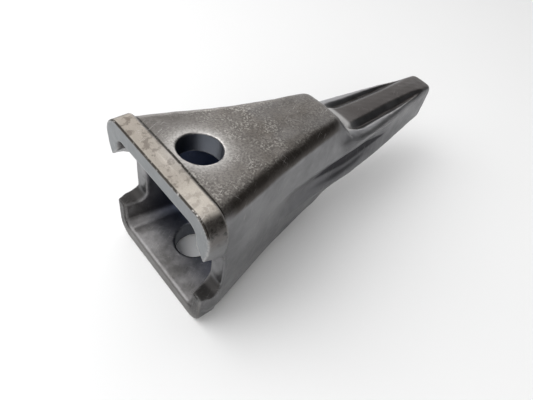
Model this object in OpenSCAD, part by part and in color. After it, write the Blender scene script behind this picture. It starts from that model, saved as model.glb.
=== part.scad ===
// Excavator bucket tooth: one steel forging with a tapered socket that slides over the adapter
// nose, a cross bore for the retaining pin and a fluted rock-chisel point.
// The origin is the middle of the pin bore. +X runs to the cutting edge, +Z runs along the pin.

/* [Socket end] */
// Distance from the open rear face to the axis of the pin bore
rear_setback = 28.7; // [26:0.1:36]
// Length of the raised collar round the open end
collar_len = 12.4; // [8:0.1:14]
// Height of the collar across the two bored walls
collar_h = 98.6; // [96:0.1:104]
// Width of the collar across its upper ears
collar_w = 97.4; // [96:0.1:104]
// How much narrower the collar is across its lower ears
lower_ear_step = 3; // [0:0.5:4]
// Corner radius of the collar
collar_r = 11; // [8:0.5:13]

/* [Tapered body] */
// Width of the body where it leaves the collar
body_w = 92; // [88:0.5:94]
// Height of the body where it leaves the collar, at its edges
body_h = 96; // [92:0.5:96.5]
// Distance from the bore axis to the waist, where the side walls turn to a slimmer taper
waist_x = 35; // [25:1:45]
// Width of the body at the waist
waist_w = 66; // [62:0.5:70]
// Height of the body at the waist, at its edges
waist_h = 86; // [84:0.5:90]
// Distance from the bore axis to the shoulder where the body ends
shoulder_x = 92; // [86:1:98]
// Width of the body at the shoulder
shoulder_w = 41; // [38:0.5:44]
// Height of the body at the shoulder, at its edges
shoulder_h = 76; // [70:0.5:80]
// How far the flat strip along the middle of both bored walls stands above their edges
crown = 1.2; // [0:0.1:2]
// Width of that flat strip, on which the tooth lies
crown_w = 20; // [10:1:22]
// Radius of the long edges of the body
body_r = 9; // [6:0.5:10]

/* [Socket] */
// Thickness of the side walls at the mouth of the socket
side_wall = 7.5; // [7:0.25:11]
// Thickness of the bored walls at the mouth of the socket
bored_wall = 9.5; // [8:0.25:13]
// Thickness of the side walls at the blind end of the socket
end_side_wall = 12.5; // [10:0.25:15]
// Thickness of the bored walls at the blind end of the socket
end_bored_wall = 18; // [14:0.5:22]
// Distance from the blind end of the socket to the shoulder
end_wall = 18; // [14:1:24]
// Corner radius inside the socket
socket_r = 6; // [4:0.5:8]

/* [Pin bore] */
// Diameter of the retaining pin
pin_d = 25; // [20:0.5:28]
// Clearance on the diameter of the pin
pin_play = 0.5; // [0.3:0.1:1]

/* [Side notches] */
// Height of the notch above the middle of the tooth
notch_above = 23; // [18:0.5:25]
// Height of the notch below the middle of the tooth
notch_below = 19.5; // [18:0.5:25]
// Distance from the rear face to the floor of the notch
notch_depth = 14.5; // [12:0.5:16]
// Upper corner radius at the floor of the notch
notch_upper_r = 13; // [6:0.5:14]
// Lower corner radius at the floor of the notch
notch_lower_r = 6; // [4:0.5:14]

/* [Point] */
// Distance from the shoulder to its foot, where the spine starts
neck_len = 21; // [16:1:26]
// Distance from the foot of the shoulder to the cutting edge
point_len = 110; // [95:1:125]
// Height of the spine along the point
spine_h = 37; // [32:0.5:40]
// Width of the spine at the neck
spine_w = 24; // [20:0.5:26]
// Width of the cutting edge
edge_w = 18; // [14:0.5:22]
// How far the cutting edge lies below the top of the spine on each side
edge_drop = 2; // [1:0.25:4]
// Width across the two side ribs at the neck
rib_w = 49; // [45:0.5:51]
// Width across the two side ribs where they start to run out
rib_front_w = 39; // [34:0.5:42]
// How far the ribs lie below the top of the spine on each side
rib_drop = 0.75; // [0.25:0.25:3]
// Distance before the cutting edge at which the ribs have run out
rib_end_gap = 18; // [10:1:30]
// Length over which the ribs run out
rib_runout = 40; // [25:1:50]
// Depth of the grooves between the spine and the ribs, below the top of the spine
groove_depth = 3.5; // [2:0.25:4]
// Radius of the flute that hollows each side of the point
flute_r = 12; // [9:0.5:14]
// Depth of the flute at its deepest place
flute_depth = 3.5; // [1:0.25:5]
// How far behind the foot of the shoulder the flute is deepest
flute_setback = 3; // [0:1:10]

/* [Hidden] */
$fn = 64;
// Thickness of the slices that the tapering shapes are stretched between
slice = 0.1;
// How far a cut runs past the surface that it opens
past = 2;
rear_x = -rear_setback;
collar_front_x = rear_x + collar_len;
neck_x = shoulder_x + neck_len;
point_x = neck_x + point_len;
rib_end_x = point_x - rib_end_gap;
rib_front_x = rib_end_x - rib_runout;
socket_end_x = shoulder_x - end_wall;
mouth_w = body_w - 2 * side_wall;
mouth_h = body_h - 2 * bored_wall;
socket_end_w = body_width(socket_end_x) - 2 * end_side_wall;
socket_end_h = body_height(socket_end_x) - 2 * end_bored_wall;
edge_h = spine_h - 2 * edge_drop;
rib_h = spine_h - 2 * rib_drop;
bore_d = pin_d + pin_play;
// Radius of the long arc that the flute follows, so that it runs out at both ends
flute_arc = 380;
// The ribs start inside the body, this far behind the shoulder
rib_root = 42;
rib_start_x = shoulder_x - rib_root;
rib_r = 5;
// How far the ribs still stand out from the spine where they end
rib_fade = 1.5;
rib_end_w = spine_width(rib_end_x) + 2 * rib_fade;
edge_r = 4;
groove_r = 3.5;
// How far the grooves bite into the sides of the spine
groove_bite = 1;

// How far one shape reaches into the next where it is joined to it
sink = 1;

// Four corner discs, and a bar that raises the middle of the bored walls, in the YZ plane at
// a distance x: a surrounding hull() closes them into one rounded section
module section_at(x, w, h, r, rise = 0) {
    translate([x, 0, 0])
        rotate([90, 0, 90])
            linear_extrude(height = slice) {
                for (sy = [-1, 1], sz = [-1, 1])
                    translate([sy * (w / 2 - r), sz * (h / 2 - r)])
                        circle(r = r, $fn = 32);
                if (rise > 0)
                    square([crown_w, h + 2 * rise], center = true);
            }
}

// Solid rounded rectangle, drawn as two bars and four corner discs
module rounded_rectangle(w, h, r) {
    square([w - 2 * r, h], center = true);
    square([w, h - 2 * r], center = true);
    for (sy = [-1, 1], sz = [-1, 1])
        translate([sy * (w / 2 - r), sz * (h / 2 - r)])
            circle(r = r);
}

// Raised band round the open end: the upper ears stand a little further out than the lower ones
module collar() {
    translate([rear_x, 0, 0])
        rotate([90, 0, 90])
            linear_extrude(height = collar_len) {
                rounded_rectangle(collar_w - lower_ear_step, collar_h, collar_r);
                intersection() {
                    rounded_rectangle(collar_w, collar_h, collar_r);
                    translate([-collar_w, 0])
                        square([2 * collar_w, collar_h]);
                }
            }
}

// Tapering box round the socket, from the rear face to the shoulder
module body() {
    hull() {
        section_at(collar_front_x - sink, body_w, body_h, body_r, crown);
        section_at(waist_x, waist_w, waist_h, body_r, crown);
    }
    hull() {
        section_at(waist_x, waist_w, waist_h, body_r, crown);
        section_at(shoulder_x, shoulder_w, shoulder_h, body_r, crown);
    }
}

// Slope from the shoulder down to the spine
module neck() {
    hull() {
        section_at(shoulder_x, shoulder_w, shoulder_h, body_r, crown);
        section_at(neck_x, spine_w - 2 * sink, spine_h - 2 * sink, groove_r);
    }
}

// Tall middle rib that ends in the cutting edge
module spine() {
    intersection() {
        linear_extrude(height = spine_h, center = true)
            polygon([
                [shoulder_x, -spine_w / 2],
                [point_x, -edge_w / 2],
                [point_x, edge_w / 2],
                [shoulder_x, spine_w / 2],
            ]);
        rotate([90, 0, 0])
            linear_extrude(height = spine_w, center = true)
                spine_side();
    }
}

// Side outline of the spine, with round corners at the cutting edge
module spine_side() {
    nose_x = point_x - edge_r;
    polygon([
        [shoulder_x, -spine_h / 2],
        [nose_x - edge_r, -spine_h / 2],
        [nose_x, -edge_h / 2],
        [nose_x, edge_h / 2],
        [nose_x - edge_r, spine_h / 2],
        [shoulder_x, spine_h / 2],
    ]);
    translate([nose_x - edge_r, -edge_h / 2 + edge_r])
        square([2 * edge_r, edge_h - 2 * edge_r]);
    for (s = [-1, 1])
        translate([nose_x, s * (edge_h / 2 - edge_r)])
            circle(r = edge_r);
}

// Side ribs: they leave the body walls behind the shoulder and run out before the cutting edge
module ribs() {
    hull() {
        section_at(rib_start_x, body_width(rib_start_x), rib_h - 2 * rib_r, rib_r);
        section_at(neck_x, rib_w, rib_h, rib_r);
    }
    hull() {
        section_at(neck_x, rib_w, rib_h, rib_r);
        section_at(rib_front_x, rib_front_w, rib_h, rib_r);
    }
    hull() {
        section_at(rib_front_x, rib_front_w, rib_h, rib_r);
        section_at(rib_end_x, rib_end_w, rib_h, rib_r);
    }
}

// Tapering cavity for the adapter nose
module socket() {
    hull() {
        section_at(rear_x - past, mouth_w, mouth_h, socket_r);
        section_at(socket_end_x, socket_end_w, socket_end_h, socket_r);
    }
}

// Bore for the retaining pin, through both walls
module pin_bore() {
    cylinder(d = bore_d, h = collar_h + 2 * past, center = true);
}

// Notch through one side wall from the rear face, with round inner corners
module notch() {
    rotate([90, 0, 0])
        linear_extrude(height = collar_w + 2 * past, center = true) {
            notch_half(notch_above, notch_upper_r);
            mirror([0, 1])
                notch_half(notch_below, notch_lower_r);
        }
}

// One half of the outline of the notch, reaching height h, with one corner of radius r
module notch_half(h, r) {
    translate([rear_x - past, 0]) {
        square([notch_depth + past - r, h]);
        square([notch_depth + past, h - r]);
    }
    translate([rear_x + notch_depth - r, h - r])
        circle(r = r);
}

// Long shallow flute in the side facing dir, turned to follow the taper of the point
module flute(dir) {
    lean = atan((rib_w - rib_front_w) / 2 / (rib_front_x - neck_x));
    translate([neck_x - flute_setback, dir * (rib_w / 2 - flute_depth), 0])
        rotate([0, 0, -dir * lean])
            translate([0, dir * (flute_arc + flute_r), 0])
                rotate_extrude($fn = 240)
                    translate([flute_arc, 0])
                        circle(r = flute_r);
}

// Round groove beside the spine, on the side and the face given by the signs sy and sz
module groove(sy, sz) {
    start_y = spine_w / 2 + groove_r - groove_bite;
    lean = atan((spine_w - edge_w) / 2 / (point_x - shoulder_x));
    translate([neck_x - groove_r, sy * start_y, sz * (spine_h / 2 - groove_depth + groove_r)])
        rotate([0, 90, -sy * lean])
            cylinder(r = groove_r, h = 2 * (point_x - shoulder_x));
}

module tooth() {
    color("dimgray")
        difference() {
            union() {
                collar();
                body();
                neck();
                spine();
                ribs();
            }
            socket();
            pin_bore();
            notch();
            for (sy = [-1, 1]) {
                flute(sy);
                for (sz = [-1, 1])
                    groove(sy, sz);
            }
        }
}

// Width and height of the body, and width of the spine, at a distance x from the bore axis
function body_width(x) =
    waist_w + (shoulder_w - waist_w) * (x - waist_x) / (shoulder_x - waist_x);
function body_height(x) =
    waist_h + (shoulder_h - waist_h) * (x - waist_x) / (shoulder_x - waist_x);
function spine_width(x) =
    spine_w + (edge_w - spine_w) * (x - shoulder_x) / (point_x - shoulder_x);

tooth();
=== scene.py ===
"""Excavator bucket tooth, lying on its side on a pale floor.

The steel is one implicit shape in millimetres, negative inside. It is meshed once, given masks for
wear, painted shade and painted highlights worked out from the shape itself, and stands for the CAD
node in the picture.
"""

import math

import bpy
import numpy as np
import openvdb
from mathutils import Matrix, Vector


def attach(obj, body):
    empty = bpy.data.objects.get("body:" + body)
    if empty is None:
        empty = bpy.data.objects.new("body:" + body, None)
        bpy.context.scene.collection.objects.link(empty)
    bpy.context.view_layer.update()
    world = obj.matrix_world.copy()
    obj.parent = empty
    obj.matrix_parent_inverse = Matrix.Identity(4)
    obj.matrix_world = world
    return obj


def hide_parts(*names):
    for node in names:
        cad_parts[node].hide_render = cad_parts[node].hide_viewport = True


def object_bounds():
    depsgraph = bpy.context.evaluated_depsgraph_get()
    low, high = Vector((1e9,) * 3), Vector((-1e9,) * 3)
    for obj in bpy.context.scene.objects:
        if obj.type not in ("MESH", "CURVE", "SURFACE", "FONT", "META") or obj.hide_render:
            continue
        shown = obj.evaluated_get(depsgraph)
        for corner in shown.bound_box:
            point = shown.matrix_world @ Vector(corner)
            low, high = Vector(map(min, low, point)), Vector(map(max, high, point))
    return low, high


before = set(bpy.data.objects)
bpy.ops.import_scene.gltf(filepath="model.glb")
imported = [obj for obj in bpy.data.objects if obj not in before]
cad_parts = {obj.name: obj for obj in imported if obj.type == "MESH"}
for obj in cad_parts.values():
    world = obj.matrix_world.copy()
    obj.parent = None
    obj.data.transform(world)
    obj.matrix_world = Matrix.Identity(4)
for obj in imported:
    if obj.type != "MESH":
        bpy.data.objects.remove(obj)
cad_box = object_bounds()
MM = 0.001

# Socket end, in millimetres. The origin is the middle of the pin bore, +X runs to the point.
REAR_X = cad_box[0][0] / MM
POINT_X = cad_box[1][0] / MM
COLLAR_FRONT_X = -16.3
COLLAR_HALF_H = 49.3
COLLAR_R = 11.0
BORE_R = 12.75
NOTCH_FLOOR_X = -14.2
NOTCH_TOP = 19.6
NOTCH_BOTTOM = -19.2
SOCKET_END_X = 74.0

# Body and point
SHOULDER_X = 92.0
NECK_X = 112.0
BODY_R = 9.0
CROWN = 1.5
SPINE_HALF_H = 18.6
HOLLOW_R = 28.0
HOLLOW_DEPTH = 3.6
FLUTE_R = 14.0
FLUTE_DEPTH = 5.8
FLUTE_MID_X = 108.0
FLUTE_REACH = 60.0

# Pin wear: the bright ring round the bore. Painted shade: the dark streak along each flute
HALO_REACH = 5.0
STREAK_MID_X = 118.0
STREAK_REACH = 44.0
STREAK_HALF_H = 5.4

# Mesh
PITCH = 1.2
MARGIN = 3.0


# ---------------------------------------------------------------- shape


def smooth_min(a, b, r):
    """Union of two shapes with a fillet of about r between them."""
    h = np.clip(0.5 + 0.5 * (b - a) / r, 0.0, 1.0)
    return b + (a - b) * h - r * h * (1.0 - h)


def smooth_max(a, b, r):
    """Intersection of two shapes, with the edge between them rounded by about r."""
    return -smooth_min(-a, -b, r)


def along(x, stations, values, soft=4.0):
    """A size that changes along x, straight between the stations and eased at each of them."""
    steps = np.linspace(-soft, soft, 5)
    return sum(np.interp(x + s, stations, values) for s in steps) / len(steps)


def ease(x, start, end):
    """0 before start, 1 after end, smooth in between."""
    t = np.clip((x - start) / (end - start), 0.0, 1.0)
    return t * t * (3.0 - 2.0 * t)


def rounded(qx, qy, r):
    """Distance to a corner of radius r, from the distances past its two sides."""
    px, py = np.maximum(qx + r, 0.0), np.maximum(qy + r, 0.0)
    return np.sqrt(px * px + py * py) + np.minimum(np.maximum(qx + r, qy + r), 0.0) - r


def crest(x):
    """Half height of the tooth along the middle of its bored walls."""
    return along(x, [-20.0, 95.5, 114.0, 127.0], [49.6, 39.2, 20.5, 10.0], 2.5)


def flank(x):
    """Half width of the body and neck."""
    return along(x, [-16.0, 35.0, 92.0, 112.0, 124.0], [46.2, 32.6, 20.6, 13.0, 8.0], 5.0)


def rib_reach(x):
    """Half width across the two side ribs."""
    stations = [40.0, 70.0, 113.0, 145.0, 163.0, 190.0, 221.0]
    return along(x, stations, [30.0, 27.6, 25.2, 21.2, 18.4, 13.8, 8.8], 6.0)


def forged_skin(x, y, z):
    """The slight unevenness that the dies leave."""
    a = np.sin(0.121 * x + 0.063 * z + 1.3) * np.sin(0.093 * y - 0.071 * z + 0.4)
    b = np.sin(0.31 * x - 0.17 * y + 2.1) * np.sin(0.23 * z + 0.29 * y)
    c = np.sin(0.73 * x + 0.41 * y) * np.sin(0.67 * y - 0.59 * z + 0.8)
    return 0.16 * a + 0.07 * b + 0.03 * c


def body(x, y, z):
    """Tapering box round the socket, and the slope from its shoulder down to the spine."""
    w = flank(x) - 0.035 * np.abs(z)
    fall = CROWN * np.sqrt((y / w) ** 2 + 0.0004)
    h = crest(x) - fall
    r = along(x, [40.0, 92.0, NECK_X + 8.0], [BODY_R, 6.5, 5.0])
    section = rounded(np.abs(y) - w, np.abs(z) - h, r)
    return smooth_max(section, np.maximum(COLLAR_FRONT_X - 6.0 - x, x - NECK_X - 8.0), 2.0)


def collar(x, y, z):
    """Raised band round the open end, with ears that bulge above the notches."""
    stations = [-42.0, -20.0, 0.0, 15.0, 22.0, 28.0, 36.0, 46.0]
    w = along(z, stations, [45.2, 45.7, 44.5, 43.8, 46.4, 48.2, 49.0, 47.6], 2.0)
    section = rounded(np.abs(y) - w, np.abs(z) - COLLAR_HALF_H, COLLAR_R)
    middle = 0.5 * (REAR_X + COLLAR_FRONT_X)
    half = 0.5 * (COLLAR_FRONT_X - REAR_X)
    return rounded(section, np.abs(x - middle) - half, 1.1)


def spine(x, y, z):
    """Tall middle rib that ends in the cutting edge."""
    w = along(x, [SHOULDER_X, POINT_X], [15.2, 9.6], 2.0)
    h = along(x, [SHOULDER_X, POINT_X - 25.0, POINT_X], [SPINE_HALF_H, SPINE_HALF_H, 16.4], 8.0)
    section = rounded(np.abs(y) - w, np.abs(z) - h, 1.5)
    chamfer = np.abs(y) + np.abs(z) - along(x, [NECK_X, POINT_X], [29.6, 26.6], 2.0)
    section = smooth_max(section, chamfer / math.sqrt(2.0), 1.0)
    tip = rounded(x - POINT_X, np.abs(z) - h, 8.0)
    corner = rounded(x - POINT_X, np.abs(y) - w, 6.5)
    tip = smooth_max(tip, corner, 5.0)
    return smooth_max(smooth_max(section, tip, 1.5), 60.0 - x, 4.0)


def ribs(x, y, z):
    """Side ribs that leave the flanks and run out before the cutting edge.

    Their tops slope up towards the middle, steeply where they carry on from the flanks. The lid
    keeps them under the body's top, and past the shoulder not far above their own sides.
    """
    stations = [50.0, 92.0, 113.0, 135.0, 190.0, 216.0]
    h = along(x, stations, [9.0, 14.0, 16.0, 16.6, 16.4, 15.0], 6.0)
    slope = along(x, [60.0, 92.0, 106.0, 118.0, 134.0], [2.2, 1.9, 1.2, 0.6, 0.25], 4.0)
    reach = rib_reach(x)
    roof = (np.abs(z) - h - slope * (reach - np.abs(y))) / np.sqrt(1.0 + slope * slope)
    section = rounded(np.abs(y) - reach, roof, 4.0)
    lid = np.maximum(crest(x) - 3.0, h + along(x, [108.0, 130.0], [6.5, 2.5]))
    section = smooth_max(section, np.abs(z) - lid, 3.0)
    return smooth_max(section, np.maximum(45.0 - x, x - POINT_X + 7.0), 5.0)


def groove_middle(x):
    """How far from the middle the grooves run."""
    return along(x, [NECK_X, POINT_X], [13.2, 8.8], 2.0)


def grooves(x, y, z):
    """The valley between the spine and each rib."""
    bottom = along(x, [108.0, 124.0, 165.0, 200.0, 216.0], [24.0, 15.2, 14.8, 16.2, 19.0], 5.0)
    side = np.abs(y) - groove_middle(x)
    rise = np.sqrt(side * side + 0.8) - 0.894
    return smooth_max(0.8 * (bottom + rise - np.abs(z)), NECK_X - 10.0 - x, 4.0)


def flutes(x, y, z):
    """Wide hollow along each side of the point, with a narrower scoop along its middle."""
    face = np.maximum(rib_reach(x), flank(x))
    run = (x - FLUTE_MID_X) / FLUTE_REACH
    hollow = HOLLOW_R + face - HOLLOW_DEPTH * (1.0 - 0.5 * run * run)
    scoop = FLUTE_R + face - FLUTE_DEPTH * (1.0 - run * run)
    wide = np.hypot(np.abs(y) - hollow, z) - HOLLOW_R
    return smooth_min(wide, np.hypot(np.abs(y) - scoop, z) - FLUTE_R, 0.6)


def socket(x, y, z):
    """Tapering cavity for the adapter nose."""
    t = (x - REAR_X) / (SOCKET_END_X - REAR_X)
    w = 38.2 - 26.2 * t
    h = 38.4 - 16.8 * t
    section = rounded(np.abs(y) - w, np.abs(z) - h, 6.5)
    return smooth_max(section, x - SOCKET_END_X, 8.0)


def notch(x, y, z):
    """Cut through both side walls from the open end, with a wide upper corner.

    Its ceiling climbs towards the middle.
    """
    middle = 0.5 * (NOTCH_TOP + NOTCH_BOTTOM)
    half = 0.5 * (NOTCH_TOP - NOTCH_BOTTOM)
    r = np.where(z > middle, 13.0, 6.5)
    inward = np.clip(45.5 - np.abs(y), 0.0, 8.0)
    z = z - np.where(z > middle, 1.2 * inward, 0.0)
    return rounded(x - NOTCH_FLOOR_X, np.abs(z - middle) - half, r)


def bore(x, y):
    """The hole for the retaining pin."""
    return np.hypot(x, y) - BORE_R


def tooth(x, y, z):
    """The whole piece of steel."""
    # The band steps up sharply from the bored walls, and flares out from the flanks
    fillet = 0.8 + 6.0 * ease(40.0 - np.abs(z), 0.0, 9.0)
    steel = smooth_min(body(x, y, z), collar(x, y, z), fillet)
    point = smooth_min(spine(x, y, z), ribs(x, y, z), 1.5)
    point = smooth_max(point, -grooves(x, y, z), 1.0)
    steel = smooth_min(steel, point, 7.0)
    steel = smooth_max(steel, -flutes(x, y, z), 1.6)
    steel = steel + forged_skin(x, y, z) * ease(x, COLLAR_FRONT_X, COLLAR_FRONT_X + 6.0)
    steel = smooth_max(steel, -socket(x, y, z), 1.8)
    steel = smooth_max(steel, -notch(x, y, z), 1.8)
    return smooth_max(steel, -bore(x, y), 1.2)


def gradient(p, step=0.02):
    """Slope of the shape at each point, which faces out of the steel."""
    columns = []
    for axis in range(3):
        d = np.zeros(3)
        d[axis] = step
        columns.append((tooth(*(p + d).T) - tooth(*(p - d).T)) / (2.0 * step))
    return np.stack(columns, axis=1)


def mesh_points():
    """Vertices on the surface, and the faces that join them."""
    low = np.array([REAR_X, cad_box[0][1] / MM, cad_box[0][2] / MM]) - MARGIN
    high = np.array([POINT_X, cad_box[1][1] / MM, cad_box[1][2] / MM]) + MARGIN
    count = np.ceil((high - low) / PITCH).astype(int) + 1
    axes = [low[i] + PITCH * np.arange(count[i]) for i in range(3)]
    values = tooth(axes[0][:, None, None], axes[1][None, :, None], axes[2][None, None, :])
    grid = openvdb.FloatGrid(background=3.0 * PITCH)
    grid.copyFromArray(np.clip(values, -3.0 * PITCH, 3.0 * PITCH).astype(np.float32))
    points, quads = grid.convertToQuads(isovalue=0.0)
    points = low + PITCH * points.astype(float)

    # Pull each vertex onto the surface
    for _ in range(4):
        slope = gradient(points)
        size = np.maximum((slope * slope).sum(axis=1), 0.05)
        move = tooth(*points.T)[:, None] * slope / size[:, None]
        points = points - np.clip(move, -0.6, 0.6)
    return points, quads


# ---------------------------------------------------------------- wear and painted light masks


def socket_end_masks(x, y, z, n):
    """Where the bored walls, the bore, the socket, the band, the end face and the ears are."""
    nx, _, nz = n.T
    out, tall, flat = np.abs(y), np.abs(z), np.abs(nz)
    inside = ease(-socket(x, y, z), -1.2, 0.2)
    rear = ease(REAR_X + 1.2 - x, 0.0, 1.0) * ease(-nx, 0.55, 0.85)
    band = ease(COLLAR_FRONT_X + 0.4 - x, -0.4, 0.8) * (1.0 - inside) * (1.0 - rear)

    # Near a bored wall's surface, short of the ribs and of the slope down to the spine
    high = ease(tall - crest(x), -13.0, -8.0) * ease(NECK_X - x, 6.0, 16.0)
    high = high * ease(ribs(x, y, z), 1.0, 4.0) * (1.0 - inside)
    # Painted shade on the roundings between the walls' tops and sides
    edge = high * ease(flat, 0.14, 0.36) * ease(-flat, -0.97, -0.82)
    edge = edge * ease(x, COLLAR_FRONT_X, COLLAR_FRONT_X + 12.0) * ease(NECK_X - x, 10.0, 20.0)

    # Painted shade on the notches' lower faces, and on the rear of the lower ears
    ledge_shade = ease(-z, 8.0, 14.0) * ease(nz, 0.2, 0.6) * ease(-x, 9.0, 14.0) * ease(out, 33.0, 38.0)
    pocket_shade = ease(REAR_X + 12.0 - x, 0.0, 6.0) * ease(-z, 17.5, 20.0) * ease(z, -46.0, -40.0)
    pocket_shade = pocket_shade * ease(out, 32.0, 37.0) * (1.0 - 0.6 * ease(out, 43.0, 46.0))
    hole = ease(-bore(x, y), -0.9, -0.1) * ease(-tall, -50.0, -44.0)
    halo = np.exp(-np.maximum(bore(x, y), 0.0) / HALO_REACH) * ease(flat, 0.6, 0.95)
    return {
        "inside": inside * (1.0 - rear),
        "hole": hole * (1.0 - inside),
        "halo": halo * (1.0 - inside),
        "rear": rear,
        "band": band,
        "ground": band * ease(flat, 0.80, 0.97) * ease(tall, 38.0, 44.0),
        "wall": high * ease(flat, 0.30, 0.80),
        "edge": edge,
        "ledge_shade": ledge_shade,
        "pocket_shade": pocket_shade,
    }


def point_masks(x, y, z, n):
    """Where the slope, the tops of the spine and ribs, the lower flanks and the streaks are:
    painted highlights on the slope and rib tops, painted shade on the lower flanks and streaks.
    """
    ny, flat = n[:, 1], np.abs(n[:, 2])
    out, tall = np.abs(y), np.abs(z)
    # Painted highlight on the slope down to the spine
    slope = ease(x, 101.0, 107.0) * ease(-x, -121.0, -117.0)
    top = ease(x, NECK_X + 5.0, NECK_X + 9.0) * ease(flat, 0.72, 0.92)
    # Painted highlight along the ribs' tops beside the grooves
    strip = ease(x, 98.0, 110.0) * ease(tall, 13.5, 15.5) * ease(flat, 0.3, 0.6)

    # Painted shade below a line that climbs from mid height on the flank to the rib's upper edge
    ridge = along(x, [20.0, 50.0, 92.0, 113.0, POINT_X], [0.0, 7.0, 12.5, 14.5, 13.5], 6.0)
    lower = ease(ridge - z, -0.5, 2.0) * ease(x, 25.0, 70.0) * ease(np.abs(ny), 0.5, 0.8)
    # Painted shade along the middle of each flute
    run = (x - STREAK_MID_X) / STREAK_REACH
    streak_shade = ease(STREAK_HALF_H * (1.0 - run * run) - np.abs(z + 0.5), -0.3, 1.4)
    return {
        "slope": slope * ease(-out, -18.0, -15.0) * ease(tall, 16.0, 18.0),
        "top": top * ease(-out, -16.0, -13.5) * ease(tall, 13.0, 15.0),
        "strip": strip * ease(out - groove_middle(x), 1.5, 3.5),
        "lower": lower,
        "streak_shade": streak_shade * ease(np.abs(ny), 0.4, 0.7) * ease(x, 40.0, 60.0),
    }


def curvature(p, n, step=0.8):
    """How sharply the surface bends at each vertex: above 0 on edges, below 0 in corners."""
    side = np.cross(n, [0.0, 0.0, 1.0]) + np.cross(n, [1.0, 0.0, 0.0])
    side = side / np.maximum(np.linalg.norm(side, axis=1), 1e-6)[:, None]
    bend = 2.0 * tooth(*p.T) - tooth(*(p + step * n).T) - tooth(*(p - step * n).T)
    for t in (side, np.cross(n, side)):
        bend = bend + tooth(*(p + step * t).T) + tooth(*(p - step * t).T)
    return bend / (step * step)


def masks(p, n):
    """Named values from 0 to 1 at each vertex, for the material."""
    x, y, z = p.T
    found = {**socket_end_masks(x, y, z, n), **point_masks(x, y, z, n)}
    curve = curvature(p, n)
    # Bright on convex edges: edge wear, which also stands as a painted glint along the crests
    wear_and_glint = ease(curve, 0.12, 0.75) * (1.0 - 0.85 * np.maximum(found["ledge_shade"], found["pocket_shade"]))
    found["wear_and_glint"] = wear_and_glint * (1.0 - 0.6 * ease(-z, 28.0, 36.0))
    # Darker in concave creases: painted shade
    found["crease_shade"] = ease(-curve, 0.05, 0.6)
    found["ledge_shade"] = found["ledge_shade"] * (1.0 - found["rear"])
    return found


# ---------------------------------------------------------------- material


class Graph:
    """Short calls that build the node tree of one material, with x, y and z in millimetres."""

    def __init__(self, name):
        self.material = bpy.data.materials.new(name)
        self.material.use_nodes = True
        self.nodes = self.material.node_tree.nodes
        self.links = self.material.node_tree.links
        self.shader = self.nodes["Principled BSDF"]
        self.place = self.nodes.new("ShaderNodeTexCoord").outputs["Object"]
        split = self.nodes.new("ShaderNodeSeparateXYZ")
        self.links.new(self.place, split.inputs[0])
        self.x, self.y, self.z = (self.math("DIVIDE", out, MM) for out in split.outputs)

    def put(self, value, socket_in):
        if isinstance(value, bpy.types.NodeSocket):
            self.links.new(value, socket_in)
        else:
            socket_in.default_value = value

    def math(self, operation, a, b=0.0, clamp=False):
        node = self.nodes.new("ShaderNodeMath")
        node.operation = operation
        node.use_clamp = clamp
        self.put(a, node.inputs[0])
        self.put(b, node.inputs[1])
        return node.outputs[0]

    def times(self, *values):
        out = values[0]
        for value in values[1:]:
            out = self.math("MULTIPLY", out, value)
        return out

    def mask(self, name):
        node = self.nodes.new("ShaderNodeAttribute")
        node.attribute_name = name
        return node.outputs["Fac"]

    def stretched(self, turn, scale):
        node = self.nodes.new("ShaderNodeMapping")
        node.vector_type = "TEXTURE"
        node.inputs["Rotation"].default_value = turn
        node.inputs["Scale"].default_value = scale
        self.links.new(self.place, node.inputs["Vector"])
        return node.outputs["Vector"]

    def noise(self, size, detail=4.0, roughness=0.55, place=None):
        """Cloudy noise whose blotches are about size millimetres across."""
        node = self.nodes.new("ShaderNodeTexNoise")
        node.inputs["Scale"].default_value = 1.0 / (size * MM)
        node.inputs["Detail"].default_value = detail
        node.inputs["Roughness"].default_value = roughness
        self.links.new(place or self.place, node.inputs["Vector"])
        return node.outputs["Fac"]

    def between(self, value, low, high):
        """0 at low, 1 at high, smooth in between."""
        node = self.nodes.new("ShaderNodeMapRange")
        node.interpolation_type = "SMOOTHSTEP"
        node.inputs["From Min"].default_value = low
        node.inputs["From Max"].default_value = high
        self.put(value, node.inputs["Value"])
        return node.outputs["Result"]

    def blend(self, amount, a, b):
        """Colour a where amount is 0, b where it is 1."""
        node = self.nodes.new("ShaderNodeMix")
        node.data_type = "RGBA"
        self.put(amount, node.inputs["Factor"])
        for value, socket_in in ((a, node.inputs["A"]), (b, node.inputs["B"])):
            self.put(value if isinstance(value, bpy.types.NodeSocket) else (*value, 1.0), socket_in)
        return node.outputs["Result"]

    def mix(self, amount, a, b):
        """Number a where amount is 0, b where it is 1."""
        node = self.nodes.new("ShaderNodeMix")
        node.data_type = "FLOAT"
        self.put(amount, node.inputs["Factor"])
        self.put(a, node.inputs["A"])
        self.put(b, node.inputs["B"])
        return node.outputs["Result"]

    def bump(self, height, strength, distance, normal=None):
        node = self.nodes.new("ShaderNodeBump")
        node.inputs["Strength"].default_value = strength
        node.inputs["Distance"].default_value = distance * MM
        self.links.new(height, node.inputs["Height"])
        if normal is not None:
            self.links.new(normal, node.inputs["Normal"])
        return node.outputs["Normal"]


# Colours: flanks, polished steel (also used for painted glints), and oil and painted crease shade
STEEL = (0.150, 0.150, 0.155)
STEEL_LIGHT = (0.235, 0.235, 0.240)
BRIGHT = (0.60, 0.58, 0.56)
OIL_AND_SHADE_DARK = (0.028, 0.024, 0.020)

# Bored walls and their edges
SCALE_BROWN = (0.225, 0.205, 0.185)
SCALE_MID = (0.165, 0.148, 0.132)
SCALE_WARM = (0.135, 0.112, 0.090)
SCALE_DARK = (0.115, 0.103, 0.093)
RUBBED = (0.44, 0.42, 0.385)
# Painted shade on the walls' rounded edges
EDGE_SHADE = (0.050, 0.042, 0.036)

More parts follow.
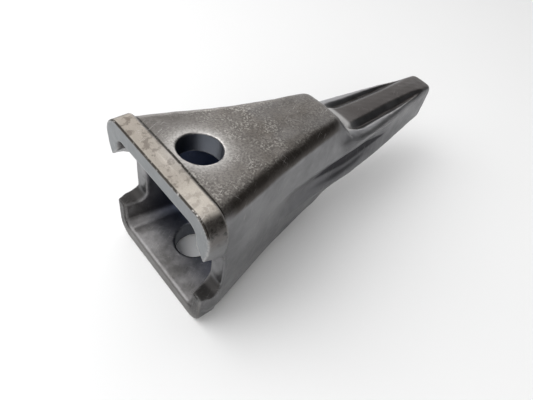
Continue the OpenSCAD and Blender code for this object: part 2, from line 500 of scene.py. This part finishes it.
# Point
# Painted highlight on the slope down to the spine
SLOPE_HIGHLIGHT = (0.50, 0.49, 0.48)
SPINE_BROWN = (0.082, 0.072, 0.068)
# Painted highlight on the ribs' tops
STRIP_HIGHLIGHT = (0.33, 0.33, 0.34)
# Painted shade on the lower flanks
LOWER_SHADE = (0.108, 0.108, 0.115)
# Painted shade in the flutes
STREAK_SHADE = (0.024, 0.023, 0.027)

# Band, end face, notches' lower faces, socket and bore
CREAM = (0.37, 0.335, 0.295)
CREAM_LIGHT = (0.52, 0.48, 0.43)
TAN = (0.15, 0.125, 0.105)
# Painted bluish reflection on the end face
BLUISH_REFLECTION = (0.205, 0.215, 0.222)
# Painted shade in the notches and behind the lower ears
LEDGE_SHADE = (0.022, 0.020, 0.019)
SOCKET_DARK = (0.100, 0.096, 0.094)
SOCKET_LIGHT = (0.195, 0.190, 0.192)
# Painted bluish light in the socket: dim, then brighter deep inside
SOCKET_SHADE_BLUE = (0.040, 0.047, 0.075)
SOCKET_DEEP_GLOW = (0.13, 0.155, 0.225)
# Painted bluish light on the bore's wall
BORE_BLUE_LIGHT = (0.105, 0.115, 0.135)


def bored_walls(g, blotch, speckle):
    """Brown scale, rubbed through in speckles, and darker on the far side of the open end."""
    scale = g.blend(g.between(blotch, 0.36, 0.66), SCALE_BROWN, SCALE_MID)
    patch = g.between(g.noise(16.0, 4.0, 0.6), 0.40, 0.60)
    scale = g.blend(g.times(patch, 0.45), scale, SCALE_WARM)
    scale = g.blend(g.times(g.between(speckle, 0.54, 0.40), 0.80), scale, SCALE_DARK)
    rubbed = g.times(g.between(speckle, 0.50, 0.60), g.between(blotch, 0.42, 0.58))
    scale = g.blend(g.times(rubbed, g.mix(g.between(g.x, 45.0, 80.0), 0.8, 0.3)), scale, RUBBED)
    far_rear = g.times(g.between(g.y, 6.0, 24.0), g.between(g.x, 30.0, 0.0))
    return g.blend(g.times(far_rear, 0.8), scale, SCALE_DARK)


def ground_band(g, mottle):
    """Bright cream steel round the mouth, mottled brown, lighter and less mottled on the near side.
    """
    near_side = g.between(g.y, -12.0, -26.0)
    bright = g.blend(near_side, CREAM, CREAM_LIGHT)
    return g.blend(g.times(mottle, g.mix(near_side, 0.7, 0.3)), bright, TAN)


def socket_walls(g, blotch):
    """Blotchy grey at the mouth, turning to painted bluish light further in: dim, then brighter
    deep inside.
    """
    walls = g.blend(g.between(blotch, 0.30, 0.70), SOCKET_DARK, SOCKET_LIGHT)
    walls = g.blend(g.between(g.x, -24.0, 6.0), walls, SOCKET_SHADE_BLUE)
    return g.blend(g.between(g.x, 0.0, 10.0), walls, SOCKET_DEEP_GLOW)


def band_lines(g):
    """Ragged lines where the band meets the end face and where it steps down to the body."""
    upper = g.between(g.math("ABSOLUTE", g.z), 40.0, 43.0)
    behind = g.between(g.x, REAR_X + 0.1, REAR_X + 0.4)
    lip = g.times(behind, g.between(g.x, REAR_X + 1.7, REAR_X + 1.1))
    from_step = g.math("ABSOLUTE", g.math("SUBTRACT", g.x, COLLAR_FRONT_X + 0.4))
    step = g.between(from_step, 1.1, 0.5)
    ragged = g.between(g.noise(3.0, 3.0), 0.30, 0.42)
    return g.times(g.math("MAXIMUM", lip, step), upper, ragged)


def scratches(g):
    """Scratches in two directions, in patches, strongest on the bored walls."""
    fine = g.noise(1.0, 1.0, 0.5, g.stretched((0.0, 0.0, 0.5), (9.0, 0.35, 9.0)))
    cross = g.noise(1.0, 1.0, 0.5, g.stretched((0.0, 0.3, -0.9), (7.0, 0.4, 7.0)))
    lines = g.math("MAXIMUM", g.between(fine, 0.66, 0.74), g.between(cross, 0.68, 0.76))
    patches = g.between(g.noise(22.0, 2.0), 0.46, 0.58)
    return g.times(lines, patches, g.mix(g.mask("wall"), 0.3, 1.0))


def forged_steel():
    """Grey forging with scaled walls, a ground band, painted shade and highlights on the point, and
    worn edges that also carry painted glints.
    """
    g = Graph("forged_steel")
    cloud = g.noise(28.0, 3.0)
    blotch = g.noise(9.0, 5.0, 0.6)
    speckle = g.noise(1.3, 3.0, 0.65)
    grain = g.noise(0.5, 2.0, 0.6)
    mottle = g.between(g.noise(5.0, 6.0, 0.68), 0.50, 0.60)
    broken = g.between(speckle, 0.30, 0.55)
    scratch = scratches(g)

    # Smooth steel with faint clouds, then each region's coat in turn
    color = g.blend(g.between(cloud, 0.35, 0.65), STEEL, STEEL_LIGHT)
    coats = (
        ("wall", 0.85, bored_walls(g, blotch, speckle)),
        # painted shade on the roundings
        ("edge", 0.9, EDGE_SHADE),
        ("top", 0.85, SPINE_BROWN),
        # painted highlight
        ("slope", 0.8, SLOPE_HIGHLIGHT),
        # painted highlight
        ("strip", 0.9, STRIP_HIGHLIGHT),
        # painted shade
        ("lower", 0.75, LOWER_SHADE),
        # painted shade
        ("streak_shade", 0.85, STREAK_SHADE),
        # painted shade
        ("ledge_shade", 0.9, LEDGE_SHADE),
    )
    for name, share, coat in coats:
        color = g.blend(g.times(g.mask(name), share), color, coat)

    # Band: oily upper corners, and bright on its two ground faces
    corner = g.times(g.mask("band"), g.between(g.z, 27.0, 38.0))
    color = g.blend(g.times(corner, 0.72), color, g.blend(mottle, SCALE_DARK, OIL_AND_SHADE_DARK))
    color = g.blend(g.mask("ground"), color, ground_band(g, mottle))

    # End face, lower ears, socket and bore
    low = g.between(g.z, -12.0, -30.0)
    # End face: painted bluish reflection, darker towards the lower ears
    color = g.blend(g.mask("rear"), color, g.blend(g.times(low, 0.7), BLUISH_REFLECTION, SCALE_DARK))
    # Painted shade, broken up by speckle, behind the lower ears
    color = g.blend(g.times(g.mask("pocket_shade"), g.between(speckle, 0.30, 0.50)), color, LEDGE_SHADE)
    color = g.blend(g.mask("inside"), color, socket_walls(g, blotch))
    # Painted bluish light in the bore
    color = g.blend(g.times(g.mask("hole"), 0.9), color, BORE_BLUE_LIGHT)

    # Pin wear round the bore, polished edges that also stand as painted glints, painted shade in
    # the creases, dark lines and scratches
    color = g.blend(g.times(g.mask("halo"), g.mix(broken, 0.6, 1.0)), color, BRIGHT)
    # Edge wear, also a painted glint along the crests
    color = g.blend(g.times(g.mask("wear_and_glint"), broken, 0.35), color, BRIGHT)
    color = g.blend(g.times(g.mask("crease_shade"), 0.7), color, OIL_AND_SHADE_DARK)
    color = g.blend(g.times(band_lines(g), 0.95), color, OIL_AND_SHADE_DARK)
    color = g.blend(g.times(scratch, 0.55), color, BRIGHT)
    g.put(color, g.shader.inputs["Base Color"])

    # Bare metal, except matte and dull where the painted shade lies: in the streaks and on the
    # notches' lower faces
    matte = g.math("MAXIMUM", g.mask("streak_shade"), g.times(g.mask("ledge_shade"), 0.5))
    g.put(g.mix(matte, 1.0, 0.1), g.shader.inputs["Metallic"])
    g.put(g.mix(matte, 0.5, 0.1), g.shader.inputs["Specular IOR Level"])
    rough = g.mix(g.mask("wall"), 0.38, 0.44)
    rough = g.mix(g.mask("ground"), rough, 0.60)
    rough = g.mix(matte, rough, 0.75)
    rough = g.math("ADD", rough, g.times(g.math("SUBTRACT", blotch, 0.5), 0.30), clamp=True)
    g.put(rough, g.shader.inputs["Roughness"])

    # Soft waves, and pits that are deepest in the scale
    waves = g.bump(g.noise(4.5, 3.0, 0.5), 0.35, 0.35)
    rough_skin = g.mix(g.mask("wall"), 0.25, 1.0)
    relief = g.times(g.math("ADD", speckle, g.times(grain, 0.4)), rough_skin)
    pits = g.bump(g.math("SUBTRACT", relief, g.times(scratch, 0.3)), 0.50, 0.32, waves)
    g.links.new(pits, g.shader.inputs["Normal"])
    return g.material


# ---------------------------------------------------------------- tooth


def build_tooth():
    """Mesh the steel, give each vertex its normal and masks, and put it on the frame."""
    points, quads = mesh_points()
    slope = gradient(points)
    normals = slope / np.maximum(np.linalg.norm(slope, axis=1), 1e-6)[:, None]
    mesh = bpy.data.meshes.new("tooth_forging")
    mesh.from_pydata((points * MM).tolist(), [], quads.tolist())
    mesh.validate()
    mesh.shade_smooth()
    for name, values in masks(points, normals).items():
        layer = mesh.attributes.new(name, "FLOAT", "POINT")
        layer.data.foreach_set("value", values.astype(np.float32))
    mesh.normals_split_custom_set_from_vertices(normals.tolist())
    piece = bpy.data.objects.new("tooth_forging", mesh)
    bpy.context.collection.objects.link(piece)
    mesh.materials.append(forged_steel())
    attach(piece, "root")
    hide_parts("tooth")
    print("tooth mesh:", len(points), "vertices,", 2 * len(quads), "triangles")
    return piece


# ---------------------------------------------------------------- stage


def camera():
    """A phone held close above the open end, rolled a little."""
    data = bpy.data.cameras.new("camera")
    data.lens = 31.955
    data.sensor_width = 36.0
    data.clip_start = 0.01
    right = Vector((0.75756, -0.63617, 0.14628)).normalized()
    ahead = Vector((0.50687, 0.43207, -0.74592)).normalized()
    up = right.cross(ahead)
    turn = Matrix((right, up, -ahead)).transposed().to_4x4()
    eye = bpy.data.objects.new("camera", data)
    eye.matrix_world = Matrix.Translation((-0.11095, -0.14720, 0.22040)) @ turn
    bpy.context.collection.objects.link(eye)
    bpy.context.scene.camera = eye


def floor():
    """Pale floor, level with the bottom of the CAD box."""
    half = 1.6
    z = cad_box[0][2]
    mesh = bpy.data.meshes.new("floor")
    corners = [(-half, -half, z), (half, -half, z), (half, half, z), (-half, half, z)]
    mesh.from_pydata(corners, [], [(0, 1, 2, 3)])
    piece = bpy.data.objects.new("floor", mesh)
    bpy.context.collection.objects.link(piece)
    g = Graph("floor_paper")
    g.shader.inputs["Base Color"].default_value = (0.86, 0.86, 0.86, 1.0)
    g.shader.inputs["Roughness"].default_value = 0.9
    g.shader.inputs["Specular IOR Level"].default_value = 0.1
    mesh.materials.append(g.material)


def softbox(name, towards, distance, size, power):
    """A square area light that faces the tooth from the given direction."""
    data = bpy.data.lights.new(name, "AREA")
    data.size = size
    data.energy = power
    lamp = bpy.data.objects.new(name, data)
    aim = Vector((0.08, 0.0, 0.0))
    back = Vector(towards).normalized()
    turn = back.to_track_quat("Z", "Y").to_matrix().to_4x4()
    lamp.matrix_world = Matrix.Translation(aim + distance * back) @ turn
    bpy.context.collection.objects.link(lamp)


def surroundings():
    """A pale room, darker above the near side of the point, which the camera sees all pale."""
    world = bpy.data.worlds.new("room")
    bpy.context.scene.world = world
    world.use_nodes = True
    nodes, links = world.node_tree.nodes, world.node_tree.links
    place = nodes.new("ShaderNodeTexCoord").outputs["Generated"]
    dot = nodes.new("ShaderNodeVectorMath")
    dot.operation = "DOT_PRODUCT"
    dot.inputs[1].default_value = Vector((0.52, -0.70, 0.50)).normalized()
    links.new(place, dot.inputs[0])
    fade = nodes.new("ShaderNodeMapRange")
    fade.interpolation_type = "SMOOTHSTEP"
    fade.inputs["From Min"].default_value = 0.35
    fade.inputs["From Max"].default_value = 0.95
    fade.inputs["To Min"].default_value = 1.0
    fade.inputs["To Max"].default_value = 0.04
    links.new(dot.outputs["Value"], fade.inputs["Value"])
    seen = nodes.new("ShaderNodeLightPath").outputs["Is Camera Ray"]
    strength = nodes.new("ShaderNodeMix")
    strength.data_type = "FLOAT"
    links.new(seen, strength.inputs["Factor"])
    links.new(fade.outputs["Result"], strength.inputs["A"])
    strength.inputs["B"].default_value = 1.0
    links.new(strength.outputs["Result"], nodes["Background"].inputs["Strength"])
    nodes["Background"].inputs["Color"].default_value = (1.0, 1.0, 1.0, 1.0)


build_tooth()
camera()
floor()
surroundings()
softbox("key", (-0.5, 0.45, 0.9), 0.9, 0.9, 5.0)
softbox("fill", (-0.8, -0.7, 0.6), 1.1, 0.9, 2.5)
softbox("rim", (0.42, 0.90, 0.02), 1.2, 0.5, 2.5)
bpy.context.scene.view_settings.view_transform = "Standard"
